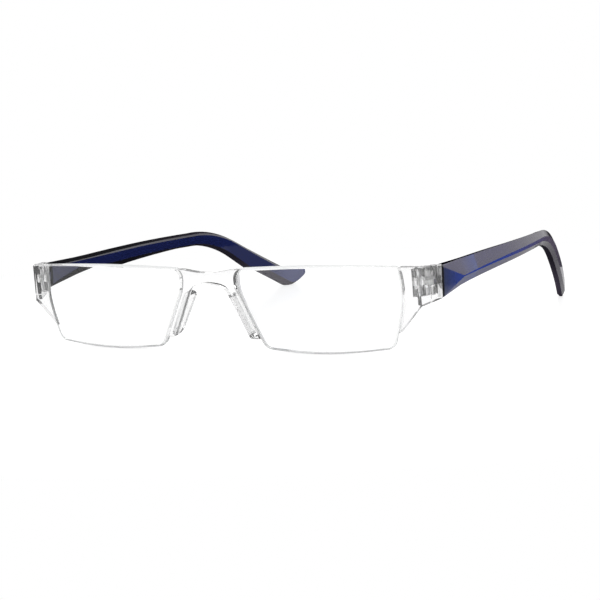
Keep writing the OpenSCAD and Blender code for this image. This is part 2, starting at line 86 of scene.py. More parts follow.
class LensSettings(bpy.types.PropertyGroup):
    front_radius: bpy.props.FloatProperty(
        name="Front radius",
        description="Radius of the front surface",
        default=0.130,
        unit="LENGTH",
    )
    back_radius: bpy.props.FloatProperty(
        name="Back radius",
        description="Radius of the back surface",
        default=0.2337,
        unit="LENGTH",
    )
    centre_thickness: bpy.props.FloatProperty(
        name="Centre thickness",
        description="Thickness at the optical centre",
        default=0.0032,
        unit="LENGTH",
    )
    optic_offset: bpy.props.FloatProperty(
        name="Optical centre",
        description="Distance of the optical centre from the inner edge",
        default=0.0148,
        unit="LENGTH",
    )
    edge_depth: bpy.props.FloatProperty(
        name="Edge rounding",
        description="How far in the polished edge rounds over",
        default=0.0006,
        unit="LENGTH",
    )
    tilt: bpy.props.FloatProperty(
        name="Forward tilt",
        description="Lean of the front, top edge first",
        default=math.radians(5.2),
        subtype="ANGLE",
    )
    wrap: bpy.props.FloatProperty(
        name="Wrap",
        description="Backward turn of each lens",
        default=math.radians(4.2),
        subtype="ANGLE",
    )
    colour: bpy.props.FloatVectorProperty(
        name="Colour",
        description="Colour of the lens plastic",
        default=(0.985, 0.99, 0.99),
        subtype="COLOR",
    )
    # Grey of the lens edge: partly the scatter of its ground finish, partly painted shade that draws its
    # outline.
    shaded_edge_colour: bpy.props.FloatVectorProperty(
        name="Edge colour",
        description="Colour of the lens edge",
        default=(0.86, 0.87, 0.87),
        subtype="COLOR",
    )
    side_cover: bpy.props.FloatProperty(
        name="Side cover",
        description="How much of the view the sides of the edge cover",
        default=0.45,
    )


class FrontSettings(bpy.types.PropertyGroup):
    rounding: bpy.props.FloatProperty(
        name="Edge rounding",
        description="Radius of the moulded edges",
        default=0.0002,
        unit="LENGTH",
    )
    colour: bpy.props.FloatVectorProperty(
        name="Colour",
        description="Colour of the clear plastic",
        default=(0.985, 0.985, 0.985),
        subtype="COLOR",
    )
    # Grey of the rounded edges: partly the scatter of their finish, partly painted shade that draws their
    # outlines.
    shaded_edge_colour: bpy.props.FloatVectorProperty(
        name="Edge colour",
        description="Colour of the rounded edges",
        default=(0.84, 0.84, 0.85),
        subtype="COLOR",
    )
    haze: bpy.props.FloatProperty(
        name="Haze",
        description="How much the plastic greys with depth",
        default=20.0,
    )
    bridge_milk: bpy.props.FloatProperty(
        name="Bridge milk",
        description="Milky share of the bridge",
        default=0.04,
    )
    rest_milk: bpy.props.FloatProperty(
        name="Nose rest milk",
        description="Milky share of the nose rests",
        default=0.04,
    )
    end_milk: bpy.props.FloatProperty(
        name="End milk",
        description="Milky share of the end pieces",
        default=0.08,
    )
    # The ear settings paint shade: the ears round the hinge pin are greyed, darkest at the pin, with a pale
    # band between them.
    ear_reach: bpy.props.FloatProperty(
        name="Ear reach",
        description="How far from the pin the ears look grey",
        default=0.0026,
        unit="LENGTH",
    )
    ear_foot: bpy.props.FloatProperty(
        name="Ear foot",
        description="Height of the lower end of the ears",
        default=0.0163,
        unit="LENGTH",
    )
    ear_gap: bpy.props.FloatProperty(
        name="Ear gap",
        description="Height of the middle of the pale band between the ears",
        default=0.0196,
        unit="LENGTH",
    )
    ear_gap_reach: bpy.props.FloatProperty(
        name="Ear gap reach",
        description="How far the pale band reaches up and down",
        default=0.0011,
        unit="LENGTH",
    )
    bore_reach: bpy.props.FloatProperty(
        name="Bore reach",
        description="How far from the pin the plastic stays clear",
        default=0.0009,
        unit="LENGTH",
    )
    ear_shade_share: bpy.props.FloatProperty(
        name="Ear share",
        description="Grey share of the ears",
        default=0.45,
    )
    ear_colour: bpy.props.FloatVectorProperty(
        name="Ear colour",
        description="Colour of the ears at their outside",
        default=(0.85, 0.85, 0.85),
        subtype="COLOR",
    )
    ear_core_shade_colour: bpy.props.FloatVectorProperty(
        name="Ear core colour",
        description="Colour of the ears at the pin",
        default=(0.04, 0.04, 0.04),
        subtype="COLOR",
    )


class ScrewSettings(bpy.types.PropertyGroup):
    rounding: bpy.props.FloatProperty(
        name="Edge rounding",
        description="Radius of the edges of the head",
        default=0.00006,
        unit="LENGTH",
    )
    colour: bpy.props.FloatVectorProperty(
        name="Colour",
        description="Colour of the steel",
        default=(0.56, 0.56, 0.57),
        subtype="COLOR",
    )


class TempleSettings(bpy.types.PropertyGroup):
    rounding: bpy.props.FloatProperty(
        name="Edge rounding",
        description="Radius of the ridges",
        default=0.00038,
        unit="LENGTH",
    )
    colour: bpy.props.FloatVectorProperty(
        name="Colour",
        description="Colour that light keeps inside the plastic",
        default=(0.05, 0.2, 0.62),
        subtype="COLOR",
    )
    density: bpy.props.FloatProperty(
        name="Density",
        description="How strongly the plastic is dyed",
        default=900.0,
    )
    # The facet colours that follow are painted light, shade and reflection: each facet of the one blue
    # plastic is toned as light falls on it.
    face_colour: bpy.props.FloatVectorProperty(
        name="Outer faces",
        description="Colour of the outer bevels",
        default=(0.045, 0.035, 0.11),
        subtype="COLOR",
    )
    ridge_colour: bpy.props.FloatVectorProperty(
        name="Ridge",
        description="Colour of the ridge",
        default=(0.04, 0.075, 0.38),
        subtype="COLOR",
    )
    facet_colour: bpy.props.FloatVectorProperty(
        name="Front facet",
        description="Colour of the front facet",
        default=(0.05, 0.06, 0.1),
        subtype="COLOR",
    )
    patch_colour: bpy.props.FloatVectorProperty(
        name="Patch",
        description="Colour of the patch behind the front facet",
        default=(0.05, 0.085, 0.34),
        subtype="COLOR",
    )
    inner_colour: bpy.props.FloatVectorProperty(
        name="Inner face",
        description="Colour of the inner face",
        default=(0.008, 0.013, 0.072),
        subtype="COLOR",
    )
    inner_tip_colour: bpy.props.FloatVectorProperty(
        name="Inner tip",
        description="Colour of the inner face at the tips",
        default=(0.065, 0.075, 0.21),
        subtype="COLOR",
    )
    inner_bevel_colour: bpy.props.FloatVectorProperty(
        name="Inner bevel",
        description="Colour of the upper inner bevel",
        default=(0.022, 0.02, 0.032),
        subtype="COLOR",
    )
    # Painted shade: the narrow faces are painted near black.
    shaded_edge_colour: bpy.props.FloatVectorProperty(
        name="Edges",
        description="Colour along the narrow faces",
        default=(0.003, 0.003, 0.005),
        subtype="COLOR",
    )
    # Painted light towards the tips.
    tip_colour: bpy.props.FloatVectorProperty(
        name="Tips",
        description="Colour towards the tips",
        default=(0.06, 0.05, 0.075),
        subtype="COLOR",
    )
    # Painted highlight: the knuckle is painted pale where light catches its round face.
    knuckle_highlight_colour: bpy.props.FloatVectorProperty(
        name="Knuckle",
        description="Colour of the hinge knuckle",
        default=(0.92, 0.93, 0.92),
        subtype="COLOR",
    )
    knuckle_end: bpy.props.FloatProperty(
        name="Knuckle end",
        description="Where the pale knuckle ends",
        default=-0.0598,
        unit="LENGTH",
    )
    blade_start: bpy.props.FloatProperty(
        name="Blade start",
        description="Where the blade starts behind the hinge",
        default=-0.0586,
        unit="LENGTH",
    )
    # Painted shade: a black band where the end face of the blade looks black.
    band_width: bpy.props.FloatProperty(
        name="Front band",
        description="Width of the black band at the front of the blade",
        default=0.0015,
        unit="LENGTH",
    )
    facet_end: bpy.props.FloatProperty(
        name="Facet end",
        description="Where the front facet ends",
        default=-0.0440,
        unit="LENGTH",
    )
    # Painted light: a bluer patch on the bevels behind the front facet.
    patch_length: bpy.props.FloatProperty(
        name="Patch length",
        description="Length of the patch behind the front facet",
        default=0.0105,
        unit="LENGTH",
    )
    patch_share: bpy.props.FloatProperty(
        name="Patch share",
        description="How much of the dye the patch covers",
        default=0.85,
    )
    # Painted light: the painted tones turn grey towards the tips.
    fade_start: bpy.props.FloatProperty(
        name="Fade start",
        description="Where the blade starts to turn grey",
        default=-0.016,
        unit="LENGTH",
    )
    fade_length: bpy.props.FloatProperty(
        name="Fade length",
        description="Distance over which the blade turns grey",
        default=0.045,
        unit="LENGTH",
    )
    # Painted shade: the inner face turns dull and dark where it bends.
    bend_start: bpy.props.FloatProperty(
        name="Bend start",
        description="Where the inner face starts to turn dull",
        default=0.034,
        unit="LENGTH",
    )
    bend_length: bpy.props.FloatProperty(
        name="Bend length",
        description="Distance over which the inner face turns dull",
        default=0.006,
        unit="LENGTH",
    )
    # Painted light: the lower narrow face pales towards the tips.
    drop_start: bpy.props.FloatProperty(
        name="Drop start",
        description="Where the lower narrow face starts to pale",
        default=0.044,
        unit="LENGTH",
    )
    drop_length: bpy.props.FloatProperty(
        name="Drop length",
        description="Distance over which the lower narrow face pales",
        default=0.010,
        unit="LENGTH",
    )
    # Painted light: the inner face pales at the tips.
    tail_start: bpy.props.FloatProperty(
        name="Tail start",
        description="Where the inner face starts to pale",
        default=0.060,
        unit="LENGTH",
    )
    tail_length: bpy.props.FloatProperty(
        name="Tail length",
        description="Distance over which the inner face pales",
        default=0.008,
        unit="LENGTH",
    )


class StageSettings(bpy.types.PropertyGroup):
    azimuth: bpy.props.FloatProperty(
        name="Azimuth",
        description="Turn of the camera round the glasses",
        default=math.radians(29.537),
        subtype="ANGLE",
    )
    elevation: bpy.props.FloatProperty(
        name="Elevation",
        description="Height angle of the camera",
        default=math.radians(6.638),
        subtype="ANGLE",
    )
    roll: bpy.props.FloatProperty(
        name="Roll",
        description="Turn of the camera about its view",
        default=math.radians(-2.855),
        subtype="ANGLE",
    )
    distance: bpy.props.FloatProperty(
        name="Distance",
        description="Distance of the camera",
        default=0.53054,
        unit="LENGTH",
    )
    target: bpy.props.FloatVectorProperty(
        name="Target",
        description="Point that the camera looks at",
        default=(0.03001, -0.07010, 0.01563),
        subtype="XYZ",
    )
    lens: bpy.props.FloatProperty(
        name="Lens",
        description="Focal length in millimetres",
        default=112.24,
    )
    floor_colour: bpy.props.FloatVectorProperty(
        name="Floor",
        description="Colour of the floor",
        default=(0.86, 0.86, 0.86),
        subtype="COLOR",
    )
    seen_floor_colour: bpy.props.FloatVectorProperty(
        name="Seen floor",
        description="Colour of the floor under its own glow, where the camera or a mirror sees it",
        default=(0.35, 0.35, 0.35),
        subtype="COLOR",
    )
    floor_glow: bpy.props.FloatProperty(
        name="Floor glow",
        description="Own light of the floor, where the camera or a mirror sees it",
        default=0.7,
    )
    table_depth: bpy.props.FloatProperty(
        name="Table depth",
        description="Where the white table ends behind the glasses",
        default=0.158,
        unit="LENGTH",
    )
    table_half_width: bpy.props.FloatProperty(
        name="Table half width",
        description="Where the white table ends beside them",
        default=0.11,
        unit="LENGTH",
    )
    fade_start: bpy.props.FloatProperty(
        name="Fade start",
        description="Distance at which the floor starts to fade into the white surroundings",
        default=0.12,
        unit="LENGTH",
    )
    fade_length: bpy.props.FloatProperty(
        name="Fade length",
        description="Distance over which the floor fades into the white surroundings",
        default=0.12,
        unit="LENGTH",
    )
    daylight: bpy.props.FloatProperty(
        name="Daylight",
        description="Strength of the surroundings that light the glasses",
        default=0.75,
    )
    room_level: bpy.props.FloatProperty(
        name="Room",
        description="Strength of the dark room that polished faces see",
        default=0.02,
    )


# Materials


class Wire:
    """A socket of a material. Arithmetic on it adds Math nodes."""

    def __init__(self, graph, socket):
        self.graph = graph
        self.socket = socket

    def _math(self, operation, *values):
        return self.graph.node("ShaderNodeMath", {"operation": operation}, dict(enumerate(values)))

    def __add__(self, other):
        return self._math("ADD", self, other)

    __radd__ = __add__

    def __sub__(self, other):
        return self._math("SUBTRACT", self, other)

    def __rsub__(self, other):
        return self._math("SUBTRACT", other, self)

    def __mul__(self, other):
        return self._math("MULTIPLY", self, other)

    __rmul__ = __mul__

    def __truediv__(self, other):
        return self._math("DIVIDE", self, other)

    def __rtruediv__(self, other):
        return self._math("DIVIDE", other, self)

    def __abs__(self):
        return self._math("ABSOLUTE", self)

    def maximum(self, other):
        return self._math("MAXIMUM", self, other)

    def clamp(self):
        return self._math("MINIMUM", self.maximum(0.0), 1.0)

    def rise(self, start, length):
        """0 up to the start, and 1 from one length past it."""
        return ((self - start) / length).clamp()

    def fall(self, end, length):
        """1 up to one length before the end, and 0 from the end."""
        return ((end - self) / length).clamp()


class Graph:
    """The node tree of a material or of the world."""

    def __init__(self, tree):
        self.tree = tree
        tree.nodes.clear()

    def node(self, kind, settings=None, sockets=None, output=0):
        """Makes a node with its settings and the values or links of its sockets, and gives one output."""
        made = self.tree.nodes.new(kind)
        for key, value in (settings or {}).items():
            setattr(made, key, value)
        for key, value in (sockets or {}).items():
            socket = made.inputs[key]
            if isinstance(value, Wire):
                self.tree.links.new(value.socket, socket)
            elif socket.type == "RGBA":
                socket.default_value = (*value, 1.0)
            else:
                socket.default_value = value
        return Wire(self, made.outputs[output]) if made.outputs else made

    def mix(self, factor, first, second):
        """Mixes two colours, which are sockets 6 and 7 of a Mix node, into its output 2."""
        return self.node("ShaderNodeMix", {"data_type": "RGBA"}, {0: factor, 6: first, 7: second}, 2)

    def blend(self, factor, first, second):
        """Mixes two shaders."""
        return self.node("ShaderNodeMixShader", None, {0: factor, 1: first, 2: second})

    def principled(self, sockets):
        return self.node("ShaderNodeBsdfPrincipled", None, sockets)

    def glow(self, strength):
        """White light of the surface's own."""
        return self.node("ShaderNodeEmission", None, {"Color": (1, 1, 1), "Strength": strength})

    def place(self):
        """The place in the piece, in metres, as a vector."""
        return self.node("ShaderNodeTexCoord", None, None, "Object")

    def split(self, vector):
        """The three numbers of a vector."""
        made = self.node("ShaderNodeSeparateXYZ", None, {0: vector})
        return [Wire(self, output) for output in made.socket.node.outputs]

    def noise(self, vector, scale, detail=2.0):
        return self.node("ShaderNodeTexNoise", None, {"Vector": vector, "Scale": scale, "Detail": detail})

    def bump(self, height, distance):
        return self.node("ShaderNodeBump", None, {"Height": height, "Distance": distance, "Strength": 1.0})

    def rays(self):
        """Two masks: rays of the camera or through clear plastic, and any other mirrored rays."""
        path = "ShaderNodeLightPath"
        camera = self.node(path, None, None, "Is Camera Ray")
        through = camera.maximum(self.node(path, None, None, "Is Transmission Ray"))
        mirrored = self.node(path, None, None, "Is Glossy Ray") * (1.0 - through)
        return through, mirrored

    def finish(self, surface, volume=None):
        sockets = {"Surface": surface, "Volume": volume} if volume else {"Surface": surface}
        self.node("ShaderNodeOutputMaterial", None, sockets)


def new_material(name):
    made = bpy.data.materials.new(name)
    made.use_nodes = True
    return made, Graph(made.node_tree)


def darker(colour, share):
    return [share * c for c in colour]


def clear_plastic(name, colour, ior, ripple, density, milk=0.0, ears=None):
    """Clear moulded plastic with faint flow ripples, small differences in polish and a little milk in it.

    Where the settings of the front are given as the ears, painted shade greys the plastic round the hinge
    pin, darkest at the pin, as the round ears are shaded.
    """
    made, graph = new_material(name)
    place = graph.place()
    flow = graph.noise(place, scale=140.0, detail=3.0)
    fine = graph.noise(place, scale=2600.0)
    surface = graph.principled(
        {
            "Base Color": graph.mix(flow, colour, darker(colour, 0.985)),
            "Roughness": 0.004 + 0.012 * fine,
            "IOR": ior,
            "Transmission Weight": 1.0,
            "Normal": graph.bump(flow, ripple),
        }
    )
    if milk:
        share = milk * (0.8 + 0.4 * flow)
        tone = graph.mix(flow, (0.93, 0.93, 0.93), (0.86, 0.86, 0.87))
        if ears:
            # Painted shade: the ears are greyed, dark at the pin and lighter outwards, as their round shape
            # is shaded.
            grey, outside = painted_ear_shade(graph, place, ears)
            share = (share + ears.ear_shade_share * grey).clamp()
            tone = graph.mix(grey, tone, graph.mix(outside, ears.ear_core_shade_colour, ears.ear_colour))
        skin = graph.principled({"Base Color": tone, "Roughness": 0.25, "IOR": ior})
        surface = graph.blend(share, surface, skin)
    haze = graph.node("ShaderNodeVolumeAbsorption", None, {"Color": (0.5, 0.5, 0.52), "Density": density})
    graph.finish(surface, haze)
    return made


def painted_ear_shade(graph, place, own):
    """How far a place gets the painted shade of the ears round a hinge pin, and how near it is to their
    outside, where that shade is lightest.
    """
    pin_x, pin_y = HINGE_PIN
    across, along, height = graph.split(place)
    offset_x = abs(across) / MM - pin_x
    offset_y = along / MM - pin_y
    square = offset_x * offset_x + offset_y * offset_y
    ear = (own.ear_reach / MM) ** 2
    bore = (own.bore_reach / MM) ** 2
    ring = square.rise(bore, bore / 5) * square.fall(ear, ear / 3)
    above_foot = height.rise(own.ear_foot, EAR_BORDER)
    off_gap = abs(height - own.ear_gap).rise(own.ear_gap_reach, EAR_BORDER)
    return ring * above_foot * off_gap, (square / ear).clamp()


def shaded_soft_edge(name, colour, clear, cover=1.0):
    """Plastic where a tumbled edge scatters the light, greyed partly as painted shade that draws its
    outline. Clear is its see-through share, cover its alpha.
    """
    made, graph = new_material(name)
    fine = graph.noise(graph.place(), scale=1500.0)
    surface = graph.principled(
        {
            "Base Color": graph.mix(fine, colour, darker(colour, 0.93)),
            "Roughness": 0.35 + 0.15 * fine,
            "IOR": 1.45,
            "Transmission Weight": clear,
            "Alpha": cover,
        }
    )
    graph.finish(surface)
    return made


def front_materials(own, name, milk, ears=None):
    """The clear plastic of the named piece, and the soft edges, greyed partly as painted shade, that all
    front pieces share.
    """
    ready = bpy.data.materials.get
    plastic = ready(name) or clear_plastic(
        name, own.colour, ior=1.49, ripple=0.00001, density=own.haze, milk=milk, ears=ears
    )
    # Painted shade in part: the grey soft edges draw the outlines of the front pieces.
    edge = ready("Front edge") or shaded_soft_edge("Front edge", own.shaded_edge_colour, clear=0.3)
    return [plastic, edge]


def steel(name, colour):
    """Turned steel with a fine grain and darker worn patches."""
    made, graph = new_material(name)
    place = graph.place()
    fine = graph.noise(place, scale=9000.0, detail=3.0)
    worn = graph.noise(place, scale=900.0)
    surface = graph.principled(
        {
            "Base Color": graph.mix(worn, colour, darker(colour, 0.8)),
            "Metallic": 1.0,
            "Roughness": 0.22 + 0.2 * fine,
            "Normal": graph.bump(fine, 0.00001),
        }
    )
    graph.finish(surface)
    return made


# Lengths over which one tone changes into the next, in metres.
EAR_BORDER = 0.0002
PATCH_BORDER = 0.0006
BAND_START_BORDER = 0.00005
BAND_END_BORDER = 0.0002

# The painted light and shade in the mesh has a depth as its alpha. Up to 1 it is the share of the painted
# colour over the clear plastic, and from there to 2 the painted colour turns dull. Each kind of facet has
# its own depth.
KNUCKLE_DEPTH = 0.9
INNER_DEPTH = 0.8
BENT_INNER_DEPTH = 1.5
INNER_BEVEL_DEPTH = 0.9
NARROW_DEPTH = 2.0
RIDGE_DEPTH = 0.85
BEVEL_DEPTH = 0.7

# Facets are told apart by how far outwards they face, from -1 to 1. Each kind lies below its limit.
INNER_FACE_LIMIT = -0.78
INNER_BEVEL_LIMIT = -0.55
NARROW_FACE_LIMIT = 0.6
# An inner bevel faces up by more than the first of these. The front facet and the ridge face up or down
# by less than the second.
INNER_BEVEL_RISE = 0.3
LEVEL_LIMIT = 0.12

# Shares of the painted light of the tips that the other facets have at the tips, with the least for a narrow
# face.
RIDGE_TIP_SHARE = 2.8
NARROW_TIP_SHARE = 0.8
NARROW_LEAST = 0.25
INNER_BEVEL_TIP_SHARE = 0.5
# The ridge's colour is painted into the lower bevel as a painted reflection, less and less up to the middle
# of the glasses.
GLOW_SHARE = 0.4
GLOW_LENGTH = 0.05


def blue_plastic(name, own):
    """Dyed see-through temple plastic, polished, with painted light and shade per facet. The painted colour
    of the facets and its depth are in the mesh.
    """
    made, graph = new_material(name)
    place = graph.place()
    along = graph.split(place)[1]
    flow = graph.noise(place, scale=90.0, detail=3.0)
    fine = graph.noise(place, scale=1800.0)
    polish = {"Roughness": 0.02 + 0.03 * fine, "IOR": 1.5, "Normal": graph.bump(flow, 0.00003)}
    undyed = graph.mix(flow, (0.92, 0.92, 1.0), (0.86, 0.86, 0.96))
    clear = graph.principled({"Base Color": undyed, "Transmission Weight": 1.0, **polish})

    front_painted_light = graph.node("ShaderNodeAttribute", {"attribute_name": "painted_light"})
    depth = graph.node("ShaderNodeAttribute", {"attribute_name": "painted_light"}, None, "Alpha")
    tip_painted_light = graph.node("ShaderNodeAttribute", {"attribute_name": "tip dye"})
    # The painted light goes over from the front tones to the tip tones along the blade.
    painted_light = graph.mix(along.rise(own.fade_start, own.fade_length), front_painted_light, tip_painted_light)
    # The bevels, which have the least depth, get a bluer patch of painted light behind the front facet.
    on_bevel = depth.fall(INNER_DEPTH, INNER_DEPTH - BEVEL_DEPTH)
    patch = along.rise(own.facet_end, own.patch_length)
    patch = patch * along.fall(own.facet_end + own.patch_length, PATCH_BORDER)
    painted_light = graph.mix(own.patch_share * patch * on_bevel, painted_light, own.patch_colour)

    # Where the painted colour covers the clear plastic it stays polished; past a depth of 1 it turns dull,
    # painted shade without gloss.
    deep = graph.principled({"Base Color": graph.mix(0.25 * flow, painted_light, (0.01, 0.01, 0.03)), **polish})
    dull = graph.principled({"Base Color": painted_light, "Roughness": 0.5 + 0.1 * fine, "Specular IOR Level": 0.0})
    body = graph.blend(depth.clamp(), clear, deep)
    blade = graph.blend(0.98 * depth.rise(1.0, 1.0), body, dull)
    # The blade ends in a black band of painted shade behind the hinge, where its end face looks black.
    band = along.rise(own.blade_start, BAND_START_BORDER)
    band = band * along.fall(own.blade_start + own.band_width, BAND_END_BORDER)
    black = graph.principled({"Base Color": own.shaded_edge_colour, "Roughness": 0.4, "Specular IOR Level": 0.1})
    dark = graph.node("ShaderNodeVolumeAbsorption", None, {"Color": own.colour, "Density": own.density})
    graph.finish(graph.blend(band, blade, black), dark)
    return made


def rise(value, start, length):
    """0 up to the start, and 1 from one length past it."""
    return min(max((value - start) / length, 0), 1)


def facet_painted_light(face, side, along, own):
    """The painted light and shade of a facet at a corner of it, the painted light that it has at the tip,
    and its depth.
    """
    outward = face.normal.x * side
    upward = face.normal.z
    tip = Vector(own.tip_colour)
    if face.calc_center_median().y < own.blade_start:
        # Painted highlight: the knuckle is pale; the tongue before it gets the painted shade of the inner
        # face.
        if along < own.knuckle_end:
            return own.knuckle_highlight_colour, own.knuckle_highlight_colour, KNUCKLE_DEPTH
        return own.inner_colour, own.inner_colour, INNER_DEPTH
    # Painted shade on the inner face, paling at the tips as painted light, and dull where it bends.
    if outward < INNER_FACE_LIMIT:
        tail = rise(along, own.tail_start, own.tail_length)
        bent = rise(along, own.bend_start, own.bend_length) * (1 - tail)
        tone = Vector(own.inner_colour).lerp(Vector(own.inner_tip_colour), tail)
        return tone, tone, INNER_DEPTH + bent * (BENT_INNER_DEPTH - INNER_DEPTH)
    # Painted shade on the upper inner bevel.
    if outward < INNER_BEVEL_LIMIT and upward > INNER_BEVEL_RISE:
        return own.inner_bevel_colour, INNER_BEVEL_TIP_SHARE * tip, INNER_BEVEL_DEPTH
    # Painted shade: the narrow faces are black, and the lower one pales towards the tips.
    if outward < NARROW_FACE_LIMIT:
        edge = Vector(own.shaded_edge_colour)
        low = rise(along, own.drop_start, own.drop_length) if upward < 0 else 0
        tone = edge.lerp(NARROW_TIP_SHARE * tip, low)
        return tone, edge.lerp(NARROW_TIP_SHARE * tip, max(NARROW_LEAST, low)), NARROW_DEPTH
    ridge = Vector(own.ridge_colour)
    # Painted highlight along the ridge, dark at the front facet.
    if abs(upward) < LEVEL_LIMIT:
        lit = rise(along, own.blade_start, own.facet_end - own.blade_start)
        return Vector(own.facet_colour).lerp(ridge, lit), RIDGE_TIP_SHARE * tip, RIDGE_DEPTH
    # Painted reflection: the outer bevels get their tone, and the lower ones some of the ridge's colour.
    glow = GLOW_SHARE * rise(-along, 0, GLOW_LENGTH) if upward < 0 else 0
    return Vector(own.face_colour).lerp(ridge, glow), tip, BEVEL_DEPTH


def paint_facet_light(bm, side, own):
    """Writes the painted light and shade of each facet of a temple blade into the mesh, for the front and
    for the tip.
    """
    layers = bm.loops.layers.float_color
    front_painted_light = layers.new("painted_light")
    tip_painted_light = layers.new("tip dye")
    for face in bm.faces:
        for loop in face.loops:
            tone, tip_tone, depth = facet_painted_light(face, side, loop.vert.co.y, own)
            loop[front_painted_light] = (*tone, depth)
            loop[tip_painted_light] = (*tip_tone, depth)


# Shapes


def turn_between(first, second):
    return math.atan2(first.cross(second), first.dot(second))


def round_corner(before, here, after, radius, error=0.004):
    """The points of the arc that rounds the corner between two straight edges."""
    back, ahead = (before - here).normalized(), (after - here).normalized()
    half = math.acos(back.dot(ahead)) / 2
    centre = here + (back + ahead).normalized() * (radius / math.sin(half))
    start = here + back * (radius / math.tan(half)) - centre
    end = here + ahead * (radius / math.tan(half)) - centre
    turn = turn_between(start, end)
    count = max(2, math.ceil(abs(turn) / (2 * math.acos(1 - error / radius))))
    return [centre + Matrix.Rotation(turn * i / count, 2) @ start for i in range(count + 1)]


def lens_outline(spacing=1.2):
    """The outline of the left lens as (point, outward normal) pairs, about evenly spaced."""
    corners = [Vector((x, z)) for x, z, _ in LENS_CORNERS]
    points = []
    for i, here in enumerate(corners):
        points += round_corner(corners[i - 1], here, corners[(i + 1) % len(corners)], LENS_CORNERS[i][2])
    even = []
    for i, here in enumerate(points):
        after = points[(i + 1) % len(points)]
        count = max(1, round((after - here).length / spacing))
        even += [here.lerp(after, k / count) for k in range(count)]
    pairs = []
    for i, here in enumerate(even):
        along = even[(i + 1) % len(even)] - even[i - 1]
        pairs.append((here, Vector((-along.y, along.x)).normalized()))
    return pairs


def lens_spheres(own):
    """The centre, seen from above, and the radius of the front and of the back surface of the left lens."""
    front_radius = own.front_radius / MM
    back_radius = own.back_radius / MM
    sag = front_radius - math.sqrt(front_radius**2 - (LENS_HALF_SPAN / math.cos(own.wrap)) ** 2)
    backward = Vector((-math.sin(own.wrap), math.cos(own.wrap)))
    middle = Vector((LENS_INNER_X + LENS_HALF_SPAN, LENS_EDGE_Y + LENS_HALF_SPAN * math.tan(own.wrap)))
    front_centre = middle + backward * (front_radius - sag)
    optic_x = LENS_INNER_X + own.optic_offset / MM
    optic_y = front_centre.y - math.sqrt(front_radius**2 - (optic_x - front_centre.x) ** 2)
    optic = Vector((optic_x, optic_y))
    back_centre = optic + (front_centre - optic).normalized() * (own.centre_thickness / MM + back_radius)
    return (front_centre, front_radius), (back_centre, back_radius)


def lens_rings(own):
    """Rings of points over the left lens, from the hub of the front over the rounded edge to the back."""
    front_sphere, back_sphere = lens_spheres(own)
    outline = lens_outline()
    edge = own.edge_depth / MM
    hub = Vector((LENS_INNER_X + LENS_HALF_SPAN, LENS_MIDDLE_Z))
    lean = (
        Matrix.Translation((0, FRONT_Y * MM, LENS_MIDDLE_Z * MM))
        @ Matrix.Rotation(own.tilt, 4, "X")
        @ Matrix.Translation((0, 0, -LENS_MIDDLE_Z * MM))
    )

    def depth(point, sphere):
        centre, radius = sphere
        return centre.y - math.sqrt(radius**2 - (point.x - centre.x) ** 2 - (point.y - LENS_MIDDLE_Z) ** 2)

    def leaned(point, held, swing):
        """A point at its swing from the back, -1, to the front, 1, with the depths of the held point."""
        front, back = depth(held, front_sphere), depth(held, back_sphere)
        y = (front + back) / 2 - swing * (back - front) / 2
        return lean @ Vector((point.x * MM, y * MM, point.y * MM))

    def surface_ring(share, swing):
        spots = [hub.lerp(point - normal * edge, share) for point, normal in outline]
        return [leaned(spot, spot, swing) for spot in spots]

    def edge_ring(angle):
        """The rounded edge swings between the depths of the two surfaces just inside it."""
        inset, swing = edge * (1 - math.sin(angle)), math.cos(angle)
        return [leaned(point - normal * inset, point - normal * edge, swing) for point, normal in outline]

    fronts = [surface_ring(share, 1) for share in SURFACE_ROWS]
    edges = [edge_ring(math.pi * i / EDGE_STEPS) for i in range(EDGE_STEPS + 1)]
    backs = [surface_ring(share, -1) for share in reversed(SURFACE_ROWS)]
    return fronts + edges + backs


def loft(bm, rings, edge_rows):
    """Skins rings of points, each extruded from the one before it. The edge rows get the second material."""
    slot = bm.verts.layers.int.new("slot")
    row = [bm.verts.new(p) for p in rings[0]]
    for i, v in enumerate(row):
        v[slot] = i
    edges = [bm.edges.new((row[i - 1], row[i])) for i in range(len(row))]
    first = edges
    for count, ring in enumerate(rings[1:]):
        made = bmesh.ops.extrude_edge_only(bm, edges=edges)["geom"]
        for face in made:
            if isinstance(face, bmesh.types.BMFace):
                face.material_index = int(count in edge_rows)
        fresh = {g for g in made if isinstance(g, bmesh.types.BMVert)}
        for v in fresh:
            v.co = ring[v[slot]]
        edges = [g for g in made if isinstance(g, bmesh.types.BMEdge) and set(g.verts) <= fresh]
    return first, edges


def cut(bm, place, normal, clear_outer=False):
    """Cuts a mesh along a plane, and clears what lies on the side of the normal where asked."""
    bmesh.ops.bisect_plane(
        bm,
        geom=bm.verts[:] + bm.edges[:] + bm.faces[:],
        plane_co=place,
        plane_no=normal,
        clear_outer=clear_outer,
    )


